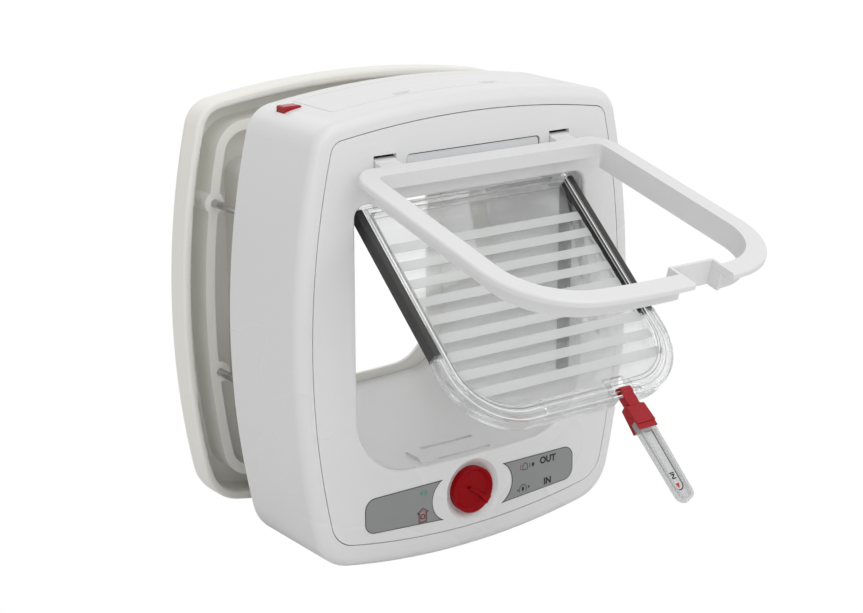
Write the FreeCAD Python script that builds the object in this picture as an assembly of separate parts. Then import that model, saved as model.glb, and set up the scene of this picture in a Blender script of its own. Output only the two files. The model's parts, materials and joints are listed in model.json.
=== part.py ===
import FreeCAD, Part
import math
import os

V = FreeCAD.Vector
os.makedirs("parts", exist_ok=True)

# Sizes in millimetres. X is across the door, Y runs from the front face back through the door,
# and Z is up from the lowest point of the casing.

# Outline of the casing and of the rear frame: four large arcs joined by corner arcs
body_half_width = 113.0
body_height = 255.3
widest_height = body_height / 2
side_radius = 450.0
top_radius = 560.0
bottom_radius = 435.0
top_corner_radius = 17.5
bottom_corner_radius = 26.5

# Casing in front of the door
bezel_depth = 13.5
housing_depth = 65.0
housing_draft = 0.5
bezel_round = 6.0
wall = 3.0
panel_thickness = 3.0
panel_groove = 0.5
panel_inset = 9.7
panel_low_inset = 12.9
ledge_width = 4.5
ledge_thickness = 2.2

# Rear frame behind the door
door_gap = 44.0
rear_depth = 21.0
rear_half_width = body_half_width + 3.0
rear_low = 4.2
rear_high = body_height - 3.5
rear_round = 9.0
rear_floor = 2.5
rim_width = 5.0
ridge_inset = 14.6
ridge_width = 5.6
ridge_corner_radius = 34.0
ridge_setback = 1.5
collar_wall = 2.2
lip_width = 10.6
lip_thickness = 2.2

# Opening in the front panel
opening_half_width = body_half_width - 37.0
opening_low = 54.0
opening_high = body_height - 51.3
opening_low_radius = 36.0
opening_high_radius = 6.5
opening_lip_round = 1.8
sill_belly = 900.0

# Long shallow recess above the opening
recess_half_width = 44.0
recess_low = opening_high + 16.5
recess_height = 6.8
recess_depth = 0.8
recess_round = 2.5

# Tunnel from the front panel through the door into the rear frame
tunnel_wall = 1.6
tunnel_front_half_width = opening_half_width - 0.4
tunnel_front_high = opening_high + 6.0
tunnel_rear_half_width = opening_half_width - 2.6
tunnel_rear_low = opening_low + 6.0
tunnel_rear_high = opening_high
tunnel_rear_radius = 27.0
tunnel_flange = 4.0
tunnel_high_radius = 5.0
seal_proud = 1.6
seal_front = 9.5
seal_back = 19.0

# Flap, given in its closed position
pivot_y = 14.5
pivot_z = opening_high + 0.05
flap_open_angle = 48.38
flap_length = pivot_z - opening_low - 3.35
flap_thickness = 7.4
flap_half_width = tunnel_front_half_width - 3.1
flap_corner_radius = 36.0
flap_belly = 2200.0
flap_rim_width = 4.2
flap_foot_width = 10.5
flap_sheet = 2.6
flap_sheet_front = 0.1
flap_top_drop = 8.0
flap_knuckle_radius = 4.8
flap_knuckle_inner = flap_half_width - 13.5
flap_pin_radius = 2.0
strip_width = 4.0
strip_top_drop = 9.2
strip_bottom_drop = flap_length - 47.0
band_count = 9
band_first_drop = 33.45
band_pitch = (flap_length - band_first_drop - 23.25) / (band_count - 1)
band_height = 5.4
band_proud = 0.3
block_left = -28.0
block_right = 14.0
block_proud = 1.4

# Indicator hung from the flap's foot, given in line with the closed flap
indicator_drop = flap_length - 4.2
indicator_forward = 2.0
indicator_center = 25.0
indicator_pin_radius = 1.2
clip_half_width = 6.0
clip_neck_half_width = 3.5
clip_neck_length = 8.0
clip_neck_half_depth = 2.4
clip_length = 15.0
clip_half_depth = 3.9
clip_grip = 5.0
lever_length = 42.5
lever_root_half_width = 5.4
lever_tip_half_width = 4.8
lever_depth = 4.4
lever_web = 1.6
lever_rim = 1.5
notch_side_gap = 0.8
notch_depth = 10.5

# Lift ring, given in its closed position
ring_pivot_y = 3.2
ring_pivot_z = opening_high + 14.27
ring_open_angle = 75.6
ring_inner_half_width = opening_half_width - 2.5
ring_inner_high = opening_high - 2.8
ring_inner_low = opening_low + 10.2
ring_belly = 460.0
ring_low_radius = 34.5
ring_high_radius = 5.0
ring_web = 1.6
ring_web_depth = 13.2
ring_bar_depth = 8.0
ring_flange_width = 10.7
ring_bar_width = 10.3
ring_flange_thickness = 3.2
ring_front = -5.0
ring_notch_left = 9.0
ring_notch_right = 35.0
ring_notch_rise = 6.0
ring_knuckle_radius = 5.3
ring_lug_radius = 8.6
ring_lug_inner = ring_inner_half_width - 22.6
ring_lug_outer = ring_lug_inner + 13.2
ring_pin_radius = 1.8
ring_ear_thickness = 3.0

# Knob, locks and labels below the opening
knob_z = 33.7
knob_radius = 13.3
knob_front = -0.9
knob_thickness = 4.2
knob_rim = 1.0
knob_hollow = 1.9
fin_half_width = 0.8
fin_tail = 2.5
fin_depth = 2.4
pointer_half_width = 2.5
pointer_length = 7.5
pointer_overhang = 0.5
knob_shaft_radius = 4.0
knob_pointer_angle = -37.0
dish_radius = 18.0
dish_depth = 3.4
dish_floor = 1.4
cam_radius = 11.0
cam_front = 14.0
cam_thickness = 5.0
cam_seat = 2.0
label_inner = 15.0
label_outer = 72.0
label_inner_low = 20.5
label_outer_low = 24.5
label_high = 44.2
label_round = 6.5
label_arc_x = 14.4
label_arc_z = 32.7
label_arc_radius = 13.3
label_thickness = 0.8
label_proud = 0.2
lock_left = -18.4
lock_right = 16.0
lock_thickness = 2.2
lock_front_y = 6.5
lock_rear_y = 23.0
lock_height = 24.0
lock_drop = 0.8
slot_left = -19.0
slot_right = 17.0
catch_left = -31.0
catch_right = -22.0
catch_front = 5.0
catch_back = 20.0
catch_height = 2.8

# Top of the casing: battery lid, its cells and the learning button
lid_half_width = body_half_width - 37.0
lid_front = 20.0
lid_back = 56.0
lid_thickness = 2.2
lid_ledge = 2.0
grip_x = 29.0
grip_half_width = 7.0
grip_front = 2.0
grip_depth = 5.0
grip_radius = 16.0
cell_radius = 7.25
cell_length = 50.5
tray_foot_x = 34.0
button_x = 28.0 - body_half_width
button_y = 46.5
button_half_x = 5.2
button_half_y = 3.8
button_proud = 1.6
button_depth = 10.5
button_skirt = 2.0
button_travel = 0.8
switch_height = 4.0
stem_height = 1.4
board_thickness = 1.6

# Screws through the door
screw_x = body_half_width - 19.0
screw_high = opening_high - 16.0
screw_low = 91.0
screw_radius = 2.2
screw_head_radius = 4.5
screw_head_height = 3.0
screw_pillar_radius = 6.0
screw_seat_depth = 7.0

# Clearances
running_gap = 0.05
soft_gap = 0.3
part_gap = 0.4

# Half size of the blocks that only cut or keep a region
beyond = 300.0

rear_front = housing_depth + door_gap
rear_back = rear_front + rear_depth
tunnel_front = panel_thickness + 0.1
tunnel_back = rear_back - lip_thickness - part_gap


def rotated(shape, center_y, center_z, degrees):
    """Turn a copy of a shape about an axis along X."""
    copy = shape.copy()
    copy.rotate(V(0, center_y, center_z), V(1, 0, 0), degrees)
    return copy


def flap_pose(shape):
    return rotated(shape, pivot_y, pivot_z, -flap_open_angle)


def ring_pose(shape):
    return rotated(shape, ring_pivot_y, ring_pivot_z, -ring_open_angle)


def mirrored(shape):
    return shape.mirror(V(0, 0, 0), V(1, 0, 0))


def block(x0, x1, y0, y1, z0, z1):
    return Part.makeBox(x1 - x0, y1 - y0, z1 - z0, V(x0, y0, z0))


def rod(radius, start, end):
    line = V(*end).sub(V(*start))
    return Part.makeCylinder(radius, line.Length, V(*start), line)


def through(wire, depth):
    """Extrude a closed outline backwards, along Y."""
    return Part.Face(wire).extrude(V(0, depth, 0))


def lofted(front_wire, back_wire):
    return Part.makeLoft([front_wire, back_wire], True, True)


def corner_between(center_a, reach_a, center_b, reach_b, side):
    """Center of a corner arc, from the distances to the centers of the two arcs it joins."""
    across = center_b.sub(center_a)
    span = across.Length
    along = (reach_a ** 2 - reach_b ** 2 + span ** 2) / (2 * span)
    rise = math.sqrt(reach_a ** 2 - along ** 2)
    unit = V(across).normalize()
    normal = V(unit.z, 0, -unit.x)
    return center_a.add(unit * along).add(normal * (rise * side))


def arc_about(center, radius, start, end):
    middle = (start.sub(center).normalize() + end.sub(center).normalize()).normalize()
    return Part.Arc(start, center + middle * radius, end).toShape()


def side_reach(height):
    """Half width of the casing at a height on its sides."""
    return body_half_width - side_radius + math.sqrt(side_radius ** 2 - (height - widest_height) ** 2)


def body_outline(y, inset=0.0, low_inset=None):
    """Casing outline at depth y, moved inwards by inset, and at the bottom by low_inset."""
    low = inset if low_inset is None else low_inset
    return arc_outline(y, body_half_width - inset, low, body_height - inset, inset,
                       max(top_corner_radius - inset, 4.0), max(bottom_corner_radius - inset, 4.0))


def rear_outline(y, inset=0.0, corner_radius=0.0):
    """Rear frame outline at depth y, moved inwards by inset, with its corners at least corner_radius."""
    high_corner = max(top_corner_radius - inset, corner_radius - inset, 4.0)
    low_corner = max(bottom_corner_radius - inset, corner_radius - inset, 4.0)
    return arc_outline(y, rear_half_width - inset, rear_low + inset, rear_high - inset, inset,
                       high_corner, low_corner)


def arc_outline(y, half_width, low_z, high_z, inset, high_corner, low_corner):
    """Outline of four large arcs, which lose inset from their radii, and four corner arcs."""
    side_r = side_radius - inset
    top_r = top_radius - inset
    bottom_r = bottom_radius - inset
    right = V(half_width - side_r, y, widest_height)
    left = V(-right.x, y, widest_height)
    top = V(0, y, high_z - top_r)
    bottom = V(0, y, low_z + bottom_r)
    high = corner_between(right, side_r - high_corner, top, top_r - high_corner, -1)
    lower = corner_between(right, side_r - low_corner, bottom, bottom_r - low_corner, 1)

    def tangent(center, radius, corner):
        return center + (corner - center).normalize() * radius

    def flip(point):
        return V(-point.x, point.y, point.z)

    side_high = tangent(right, side_r, high)
    side_low = tangent(right, side_r, lower)
    top_end = tangent(top, top_r, high)
    bottom_end = tangent(bottom, bottom_r, lower)
    edges = [
        Part.Arc(side_low, right + V(side_r, 0, 0), side_high).toShape(),
        arc_about(high, high_corner, side_high, top_end),
        Part.Arc(top_end, top + V(0, 0, top_r), flip(top_end)).toShape(),
        arc_about(flip(high), high_corner, flip(top_end), flip(side_high)),
        Part.Arc(flip(side_high), left - V(side_r, 0, 0), flip(side_low)).toShape(),
        arc_about(flip(lower), low_corner, flip(side_low), flip(bottom_end)),
        Part.Arc(flip(bottom_end), bottom - V(0, 0, bottom_r), bottom_end).toShape(),
        arc_about(lower, low_corner, bottom_end, side_low),
    ]
    return Part.Wire(edges)


def loop(y, half_width, low, high, low_radius, high_radius, belly):
    """Rounded opening at depth y: straight sides and top, and a bottom edge of radius belly."""
    big = V(0, y, low + belly)
    reach = belly - low_radius
    corner_x = half_width - low_radius
    lower = V(corner_x, y, big.z - math.sqrt(reach ** 2 - corner_x ** 2))
    upper = V(half_width - high_radius, y, high - high_radius)
    bottom_end = big + (lower - big).normalize() * belly

    def flip(point):
        return V(-point.x, point.y, point.z)

    side_low = V(half_width, y, lower.z)
    side_high = V(half_width, y, upper.z)
    top_end = V(upper.x, y, high)
    edges = [
        Part.LineSegment(side_low, side_high).toShape(),
        arc_about(upper, high_radius, side_high, top_end),
        Part.LineSegment(top_end, flip(top_end)).toShape(),
        arc_about(flip(upper), high_radius, flip(top_end), flip(side_high)),
        Part.LineSegment(flip(side_high), flip(side_low)).toShape(),
        arc_about(flip(lower), low_radius, flip(side_low), flip(bottom_end)),
        Part.Arc(flip(bottom_end), V(0, y, low), bottom_end).toShape(),
        arc_about(lower, low_radius, bottom_end, side_low),
    ]
    return Part.Wire(edges)


def opening_wire(y, grow=0.0):
    return loop(y, opening_half_width + grow, opening_low - grow, opening_high + grow,
                opening_low_radius + grow, opening_high_radius + grow, sill_belly)


def tunnel_wire(y, grow=0.0):
    """Section of the tunnel at depth y, which narrows evenly towards the back."""
    share = (y - tunnel_front) / (tunnel_back - tunnel_front)

    def between(front, back):
        return front + (back - front) * share

    return loop(y, between(tunnel_front_half_width, tunnel_rear_half_width) + grow,
                between(opening_low, tunnel_rear_low) - grow,
                between(tunnel_front_high, tunnel_rear_high) + grow,
                between(opening_low_radius, tunnel_rear_radius) + grow,
                tunnel_high_radius + grow, sill_belly)


def tunnel_space(y0, y1, grow=0.0):
    return lofted(tunnel_wire(y0, grow), tunnel_wire(y1, grow))


def screw_places():
    return [(side * screw_x, height) for side in (-1, 1) for height in (screw_low, screw_high)]


def edges_where(shape, test):
    return [edge for edge in shape.Edges if test(edge.BoundBox)]


def slot_space(y, width, depth):
    """Slot cut down through the tunnel floor for a lock plate."""
    return block(slot_left, slot_right, y - width / 2, y + width / 2,
                 opening_low - depth, opening_low + depth)


def make_bezel():
    solid = through(body_outline(0, housing_draft, 0.0), bezel_depth)
    rounded = edges_where(solid, lambda box: box.YMax < 0.01)
    solid = solid.makeFillet(bezel_round, rounded)
    hollow_start = panel_thickness + ledge_thickness
    hollow = through(body_outline(hollow_start, housing_draft + wall, wall), bezel_depth)
    seat = through(body_outline(-1, panel_inset, panel_low_inset), panel_thickness + 1)
    window = through(body_outline(-1, panel_inset + ledge_width, panel_low_inset + ledge_width), bezel_depth)
    return solid.cut(hollow).cut(seat).cut(window)


def make_housing():
    solid = lofted(body_outline(bezel_depth, housing_draft, 0.0), body_outline(housing_depth))
    hollow = lofted(body_outline(bezel_depth - 1, housing_draft + wall, wall),
                    body_outline(housing_depth - wall, wall))
    shell = solid.cut(hollow)
    for x, z in screw_places():
        pillar = rod(screw_pillar_radius, (x, housing_depth - wall - 10, z), (x, housing_depth - 1, z))
        shell = shell.fuse(pillar)
    for x, z in screw_places():
        shell = shell.cut(rod(screw_radius + 0.3, (x, 30, z), (x, housing_depth + 1, z)))
    shell = shell.cut(tunnel_space(housing_depth - wall - 1, housing_depth + 1, tunnel_wall + part_gap))
    return cut_lid_seat(cut_button_hole(shell))


def lid_space(grow, depth):
    """Block over the battery lid's outline, reaching down from the crown of the casing."""
    return block(-lid_half_width - grow, lid_half_width + grow, lid_front - grow, lid_back + grow,
                 body_height - depth, body_height + 5)


def crown(drop):
    """Casing volume whose outside is the top surface lowered by drop."""
    return lofted(body_outline(bezel_depth, housing_draft + drop, drop),
                  body_outline(housing_depth, drop))


def cut_lid_seat(shell):
    seat = lid_space(part_gap, 12).cut(crown(lid_thickness))
    window = lid_space(-lid_ledge, 25)
    return shell.cut(seat).cut(window)


def make_lid():
    lid = crown(0.0).cut(crown(lid_thickness - 0.05)).common(lid_space(0.0, 12))
    for x in (-grip_x, grip_x):
        bowl = rod(grip_radius, (x, lid_front, body_height + grip_radius - 2.5),
                   (x, lid_back, body_height + grip_radius - 2.5))
        grip = bowl.common(block(x - grip_half_width, x + grip_half_width, lid_front + grip_front,
                                 lid_front + grip_front + grip_depth, body_height - 8, body_height + 2))
        lid = lid.cut(grip)
    return lid


def button_space(grow, low, high):
    return block(button_x - button_half_x - grow, button_x + button_half_x + grow,
                 button_y - button_half_y - grow, button_y + button_half_y + grow, low, high)


def button_surface():
    """Height of the casing's top where the button stands."""
    return body_height - top_radius + math.sqrt(top_radius ** 2 - button_x ** 2)


def cut_button_hole(shell):
    return shell.cut(button_space(soft_gap, button_surface() - 20, button_surface() + 10))


def button_bottom():
    return button_surface() + button_proud - button_depth


def make_button():
    top = button_surface() + button_proud
    cap = button_space(0.0, button_bottom() + button_skirt, top)
    cap = cap.makeFillet(1.0, edges_where(cap, lambda box: box.ZMin > top - 0.01))
    skirt = button_space(-1.2, button_bottom(), button_bottom() + button_skirt)
    return cap.fuse(skirt)


def switch_top():
    """Top of the switch body, whose stem ends just below the fully pressed button."""
    return button_bottom() - button_travel - soft_gap - stem_height


def make_switch():
    top = switch_top()
    body = block(button_x - 3, button_x + 3, button_y - 3, button_y + 3, top - switch_height, top)
    stem = rod(1.6, (button_x, button_y, top), (button_x, button_y, top + stem_height))
    return body.fuse(stem)


def board_span():
    """Ends of the circuit board across the door, the left one clear of the casing's side."""
    return soft_gap + wall + 2.0 - side_reach(switch_top()), button_x + 14.0


def make_board():
    """Circuit board under the learning button."""
    top = switch_top() - switch_height
    left, right = board_span()
    return block(left, right, 20, 57, top - board_thickness, top)


def make_board_bracket():
    """Shelf with a rib, on the casing's back wall, that carries the circuit board."""
    left, right = board_span()
    top = switch_top() - switch_height - board_thickness
    back = housing_depth - wall
    shelf = block(left, right, back - 12, back, top - 2, top)
    middle = (left + right) / 2
    rib = block(middle - 1, middle + 1, back - 12, back, top - 10, top - 2)
    return shelf.fuse(rib)


def panel_holes(panel):
    """Cut the two slots that the ring's hinge lugs pass through."""
    slot = block(ring_lug_inner - part_gap, ring_lug_outer + part_gap, -1, panel_thickness + 8,
                 ring_pivot_z - 6.7, ring_pivot_z + 10.4)
    return panel.cut(slot).cut(mirrored(slot))


def label_shape(grow):
    """Grey label on the right: rounded outer end and a hollow end around the knob."""
    corners = [(label_inner - grow, label_high + grow), (label_outer + grow, label_high + grow),
               (label_outer + grow, label_outer_low - grow), (label_inner - grow, label_inner_low - grow)]
    points = [V(x, -5, z) for x, z in corners]
    plate = through(Part.makePolygon(points + [points[0]]), 10)
    outer = edges_where(plate, lambda box: box.XMin > label_outer - 0.5 and box.YLength > 9)
    plate = plate.makeFillet(label_round + grow, outer)
    return plate.cut(rod(label_arc_radius - grow, (label_arc_x, -6, label_arc_z), (label_arc_x, 6, label_arc_z)))


def make_label():
    depth = block(0, beyond, -label_proud, label_thickness - label_proud, 0, beyond)
    return label_shape(0.0).common(depth)


def make_panel():
    panel = through(body_outline(0, panel_inset + panel_groove, panel_low_inset + panel_groove), panel_thickness)
    panel = panel.cut(through(opening_wire(-1), panel_thickness + 2))
    lip = edges_where(panel, lambda box: box.YMax < 0.01 and box.XMax < opening_half_width + 1
                      and box.XMin > -opening_half_width - 1 and box.ZMax < opening_high + 1
                      and box.ZMin > opening_low - 1)
    panel = panel.makeFillet(opening_lip_round, lip)
    boss = rod(dish_radius + 2, (0, panel_thickness - 0.5, knob_z), (0, dish_depth + dish_floor, knob_z))
    above_ledge = panel_low_inset + ledge_width + part_gap
    below_tunnel = opening_low - tunnel_wall - part_gap - 2.2
    panel = panel.fuse(boss.common(block(-beyond, beyond, -1, beyond, above_ledge, below_tunnel)))
    dish = Part.makeCone(dish_radius, knob_radius + 0.4, dish_depth, V(0, 0, knob_z), V(0, 1, 0))
    bore = rod(knob_shaft_radius + running_gap, (0, 0, knob_z), (0, 20, knob_z))
    panel = panel.cut(dish).cut(bore)
    recess = block(-recess_half_width, recess_half_width, -1, recess_depth, recess_low, recess_low + recess_height)
    rounded = edges_where(recess, lambda box: box.YLength > recess_depth)
    panel = panel_holes(panel.cut(recess.makeFillet(recess_round, rounded)))
    for ear in ring_ears():
        panel = panel.fuse(ear)
    for pin in (make_ring_pin(running_gap), mirrored(make_ring_pin(running_gap))):
        panel = panel.cut(pin)
    pocket = block(0, beyond, -5, label_thickness - label_proud, 0, beyond).common(label_shape(0.05))
    panel = panel.cut(pocket).cut(mirrored(pocket))
    return panel


def ring_ears():
    """Ears behind the front panel that hold the ring's pins."""
    ears = []
    inner = ring_lug_inner - part_gap
    outer = ring_lug_outer + part_gap
    for low, high in ((inner - ring_ear_thickness, inner), (outer, outer + ring_ear_thickness)):
        ear = rod(4.2, (low, ring_pivot_y + 1.4, ring_pivot_z), (high, ring_pivot_y + 1.4, ring_pivot_z))
        foot = block(low, high, panel_thickness - 0.4, ring_pivot_y + 1.4,
                     ring_pivot_z - 4.2, ring_pivot_z + 4.2)
        ear = ear.fuse(foot).common(block(low, high, panel_thickness - 0.4, beyond, 0, beyond))
        ears += [ear, mirrored(ear)]
    return ears


def make_ring_pin(grow=0.0):
    inner = ring_lug_inner - part_gap - ring_ear_thickness
    outer = ring_lug_outer + part_gap + ring_ear_thickness
    return rod(ring_pin_radius + grow, (inner, ring_pivot_y, ring_pivot_z), (outer, ring_pivot_y, ring_pivot_z))


def ring_wire(y, grow):
    return loop(y, ring_inner_half_width + grow, ring_inner_low - grow, ring_inner_high + grow,
                ring_low_radius + grow, ring_high_radius + grow, ring_belly)


def make_ring():
    """L-section loop: a front flange, a web around its inside and two hinge lugs."""
    flange = through(ring_wire(ring_front, ring_flange_width), ring_flange_thickness)
    flange = flange.common(block(-beyond, beyond, -beyond, beyond, 0, ring_inner_high + ring_bar_width))
    flange = flange.makeFillet(1.4, edges_where(flange, lambda box: box.YMax < ring_front + 0.01))
    web = through(ring_wire(ring_front, ring_web), ring_web_depth)
    bar_limit = block(-beyond, beyond, ring_front + ring_bar_depth, beyond, ring_inner_high - 3, beyond)
    ring = flange.fuse(web.cut(bar_limit))
    ring = ring.cut(through(ring_wire(ring_front - 1, 0.0), ring_web_depth + 2))
    ring = ring_notch(ring)
    lug = ring_lug()
    ring = ring.fuse(lug).fuse(mirrored(lug))
    bore = rod(ring_pin_radius + running_gap, (-90, ring_pivot_y, ring_pivot_z),
               (90, ring_pivot_y, ring_pivot_z))
    return ring.cut(bore).removeSplitter()


def ring_notch(ring):
    """Pocket in the ring's foot for the indicator: the web steps inwards around it."""
    low = ring_inner_low - ring_flange_width - 5
    high = ring_inner_low + ring_notch_rise
    gap = block(ring_notch_left, ring_notch_right, ring_front - 1, 30, low, high + 1)
    frame = block(ring_notch_left - ring_web, ring_notch_right + ring_web, ring_front,
                  ring_front + ring_web_depth, ring_inner_low - 1.0, high + ring_web)
    inside = block(ring_notch_left, ring_notch_right, ring_front - 1, 30, low, high)
    return ring.cut(gap).fuse(frame.cut(inside))


def ring_lug():
    low = ring_lug_inner
    high = ring_lug_outer
    knuckle = rod(ring_knuckle_radius, (low, ring_pivot_y, ring_pivot_z), (high, ring_pivot_y, ring_pivot_z))
    disc = rod(ring_lug_radius, (low, ring_pivot_y, ring_pivot_z), (high, ring_pivot_y, ring_pivot_z))
    ahead = block(low, high, -20, -part_gap, ring_pivot_z - 20, ring_pivot_z + 2.2)
    arm = block(low, high, ring_front, -part_gap, ring_inner_high + ring_bar_width - 1, ring_pivot_z - 4)
    return knuckle.fuse(disc.common(ahead)).fuse(arm)


def make_tunnel():
    outer = tunnel_space(tunnel_front, tunnel_back, tunnel_wall)
    flange = through(tunnel_wire(tunnel_front, tunnel_wall + tunnel_flange), 1.8)
    keep = block(-beyond, beyond, 0, beyond, opening_low - 2.2, ring_pivot_z - 8.0)
    boss = rod(4.6, (tunnel_front_half_width - 0.2, pivot_y, pivot_z),
               (tunnel_front_half_width + 7.5, pivot_y, pivot_z))
    shape = outer.fuse(flange.common(keep)).fuse(boss).fuse(mirrored(boss))
    shape = shape.cut(tunnel_space(tunnel_front - 1, tunnel_back + 1))
    bore = rod(flap_pin_radius + running_gap, (-90, pivot_y, pivot_z), (90, pivot_y, pivot_z))
    shape = shape.cut(bore)
    for y in (lock_front_y, lock_rear_y):
        shape = shape.cut(slot_space(y, lock_thickness + 2 * soft_gap, 6))
    return shape


def lip_wire(y):
    return loop(y, tunnel_rear_half_width - lip_width, tunnel_rear_low + 5.0,
                tunnel_rear_high - lip_width, 26.0, 14.0, sill_belly)


def make_rear_frame():
    solid = through(rear_outline(rear_front), rear_depth)
    solid = solid.makeFillet(rear_round, edges_where(solid, lambda box: box.YMin > rear_back - 0.01))
    well_depth = rear_depth - rear_floor
    well = through(rear_outline(rear_front - 1, rim_width), well_depth + 1)
    ridge = through(rear_outline(rear_front + ridge_setback, ridge_inset, ridge_corner_radius), rear_depth)
    ridge = ridge.cut(through(rear_outline(rear_front, ridge_inset + ridge_width, ridge_corner_radius),
                              rear_depth + 5))
    collar_grow = tunnel_wall + part_gap
    collar = tunnel_space(rear_front + 1, rear_back, collar_grow + collar_wall)
    frame = solid.cut(well)
    keep = block(-beyond, beyond, rear_front, rear_back - 1, 0, beyond)
    frame = frame.fuse(ridge.common(keep)).fuse(collar.common(keep))
    for x, z in screw_places():
        frame = frame.fuse(rod(screw_pillar_radius, (x, rear_front + ridge_setback, z), (x, rear_back - 1, z)))
    frame = frame.cut(tunnel_space(rear_front - 1, rear_back - lip_thickness, collar_grow))
    frame = frame.cut(through(lip_wire(rear_back - 10), 20))
    for x, z in screw_places():
        frame = frame.cut(rod(screw_radius + running_gap, (x, rear_front, z),
                              (x, rear_back - screw_seat_depth, z)))
    rim = edges_where(frame, lambda box: box.YMax < rear_front + 0.01)
    return frame.makeFillet(2.0, rim)


def make_screw(x, z):
    seat = housing_depth - wall - 10
    head = rod(screw_head_radius, (x, seat - screw_head_height, z), (x, seat, z))
    socket = rod(2.0, (x, seat - screw_head_height - 1, z), (x, seat - 1.2, z))
    shank = rod(screw_radius, (x, seat, z), (x, rear_back - screw_seat_depth - 0.5, z))
    return head.cut(socket).fuse(shank)


def make_flap():
    """Clear flap in its closed position: a rimmed sheet with a block on its foot and two knuckles."""
    back = pivot_y + flap_thickness / 2
    front = pivot_y - flap_thickness / 2
    low = pivot_z - flap_length
    top = pivot_z - flap_top_drop

    def profile(y, inset, foot):
        return loop(y, flap_half_width - inset, low + foot, top - inset,
                    flap_corner_radius - inset, 3.0, flap_belly)

    outer = through(profile(front, 0.0, 0.0), flap_thickness)
    inner_depth = through(profile(front - 1, flap_rim_width, flap_foot_width), flap_thickness + 2)
    sheet = through(profile(pivot_y - flap_sheet_front, 1.0, 1.0), flap_sheet)
    rim = outer.cut(inner_depth)
    flap = rim.fuse(sheet)
    side_half = flap_half_width - strip_width
    channel = block(side_half, beyond, front - 2, back + 2, pivot_z - strip_bottom_drop, beyond)
    flap = flap.cut(channel).cut(mirrored(channel))
    rail = block(side_half - flap_rim_width, side_half, front, back, pivot_z - strip_bottom_drop, top)
    flap = flap.fuse(rail).fuse(mirrored(rail))
    knuckle = rod(flap_knuckle_radius, (flap_knuckle_inner, pivot_y, pivot_z), (flap_half_width, pivot_y, pivot_z))
    arm = block(flap_knuckle_inner, side_half, pivot_y - 3.2, pivot_y + 3.2, top - 2, pivot_z)
    for piece in (knuckle, arm):
        flap = flap.fuse(piece).fuse(mirrored(piece))
    flap = flap.fuse(block(block_left, block_right, front - block_proud, front + 2, low + 1.0,
                           low + flap_foot_width - 0.5))
    for index in range(band_count):
        z = pivot_z - band_first_drop - index * band_pitch
        reach = side_half - flap_rim_width
        flap = flap.fuse(block(-reach, reach, pivot_y - flap_sheet_front - band_proud, pivot_y + 1,
                               z - band_height / 2, z + band_height / 2))
    notch = block(indicator_center - clip_half_width - notch_side_gap,
                  indicator_center + clip_half_width + notch_side_gap, front - 3, back + 3, 0,
                  pivot_z - indicator_drop + notch_depth)
    flap = flap.cut(notch)
    pin_y = pivot_y - indicator_forward
    pin_z = pivot_z - indicator_drop
    flap = flap.cut(rod(flap_pin_radius + running_gap, (-90, pivot_y, pivot_z), (90, pivot_y, pivot_z)))
    pin_reach = clip_half_width + notch_side_gap + 4
    flap = flap.cut(rod(indicator_pin_radius + running_gap, (indicator_center - pin_reach, pin_y, pin_z),
                        (indicator_center + pin_reach, pin_y, pin_z)))
    return flap.removeSplitter()


def make_strip():
    """Dark sealing strip along the right side of the flap."""
    side_half = flap_half_width - strip_width
    front = pivot_y - flap_thickness / 2
    strip = block(side_half, flap_half_width, front, front + flap_thickness,
                  pivot_z - strip_bottom_drop, pivot_z - strip_top_drop)
    outer = edges_where(strip, lambda box: box.XMin > flap_half_width - 0.01 and box.ZLength > 20)
    return strip.makeFillet(1.2, outer)


def make_flap_pin():
    return rod(flap_pin_radius, (flap_knuckle_inner, pivot_y, pivot_z),
               (tunnel_front_half_width + 7.3, pivot_y, pivot_z))


def make_indicator_pin():
    y = pivot_y - indicator_forward
    z = pivot_z - indicator_drop
    reach = clip_half_width + notch_side_gap + 3.5
    return rod(indicator_pin_radius, (indicator_center - reach, y, z), (indicator_center + reach, y, z))


def make_clip():
    """Red clip: barrel on the pin, narrow neck and a wedge-shaped forked body that grips the lever."""
    y = pivot_y - indicator_forward
    z = pivot_z - indicator_drop
    x = indicator_center
    barrel = rod(3.0, (x - clip_neck_half_width, y, z), (x + clip_neck_half_width, y, z))
    neck = block(x - clip_neck_half_width, x + clip_neck_half_width, y - clip_neck_half_depth,
                 y + clip_neck_half_depth, z - clip_neck_length - 1, z)
    body_top = z - clip_neck_length
    body_low = body_top - clip_length
    left = x - clip_half_width
    corners = [V(left, y - clip_neck_half_depth, body_top), V(left, y + clip_neck_half_depth, body_top),
               V(left, y + clip_half_depth, body_low), V(left, y - clip_half_depth, body_low)]
    body = Part.Face(Part.makePolygon(corners + [corners[0]])).extrude(V(2 * clip_half_width, 0, 0))
    body = body.makeChamfer(1.2, edges_where(body, lambda box: box.ZMin > body_top - 0.01))
    fork = block(left - 1, x + clip_half_width + 1, y - lever_depth / 2, y + lever_depth / 2,
                 body_low - 1, body_low + clip_grip)
    step = block(left - 1, x + clip_half_width + 1, y - 10, y - clip_half_depth + 1.0,
                 body_low - 1, body_low + 3.0)
    clip = barrel.fuse(neck).fuse(body).cut(fork).cut(step)
    return clip.cut(rod(indicator_pin_radius + running_gap, (x - 20, y, z), (x + 20, y, z)))


def lever_outline(y, root_half, tip_half, root_z, tip_z):
    x = indicator_center
    points = [V(x - root_half, y, root_z), V(x + root_half, y, root_z), V(x + tip_half, y, tip_z)]
    bottom = V(x, y, tip_z - tip_half)
    left_tip = V(x - tip_half, y, tip_z)
    edges = [Part.LineSegment(points[0], points[1]).toShape(),
             Part.LineSegment(points[1], points[2]).toShape(),
             Part.Arc(points[2], bottom, left_tip).toShape(),
             Part.LineSegment(left_tip, points[0]).toShape()]
    return Part.Wire(edges)


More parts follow.
